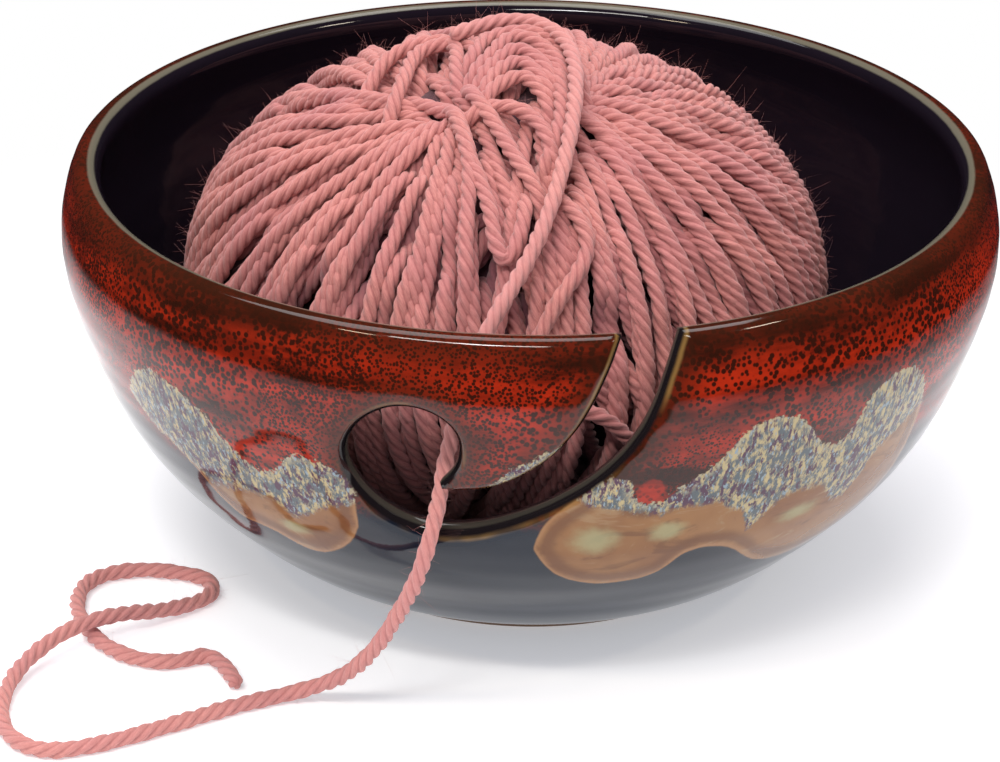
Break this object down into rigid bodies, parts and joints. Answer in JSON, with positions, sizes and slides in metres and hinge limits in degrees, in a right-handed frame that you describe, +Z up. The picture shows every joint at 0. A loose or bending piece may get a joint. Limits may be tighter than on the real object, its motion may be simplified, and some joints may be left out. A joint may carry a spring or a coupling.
{
  "type": "yarn bowl",
  "caption": "Round glazed stoneware bowl with a curled yarn guide cut through its wall, holding a ball of plied yarn whose working end runs out through the guide.",
  "frame": {"origin": "on the table under the middle of the bowl's foot", "axes": "+Z up, the yarn guide in the front wall faces -Y, +X to the right as seen from the front"},
  "size_m": [0.1653, 0.1647, 0.094],
  "materials": {
    "glazed_stoneware": "glossy layered glaze over dark stoneware, bare clay foot ring",
    "plied_yarn": "matte plied wool"
  },
  "bodies": {
    "bowl": {"bowl": "glazed_stoneware", "working_yarn": "plied_yarn"},
    "lifted_yarn": {"lead_strand": "plied_yarn"},
    "ball": {"yarn_ball": "plied_yarn"}
  },
  "joints": [
    {"name": "ball_lift", "type": "slide", "parent": "bowl", "child": "lifted_yarn", "axis": [0, 0, 1], "range_m": [0, 0.1]},
    {"name": "ball_spin", "type": "hinge", "parent": "lifted_yarn", "child": "ball", "pos_m": [-0.004, 0, 0.0481], "axis": [0, 0, 1], "continuous": true}
  ]
}
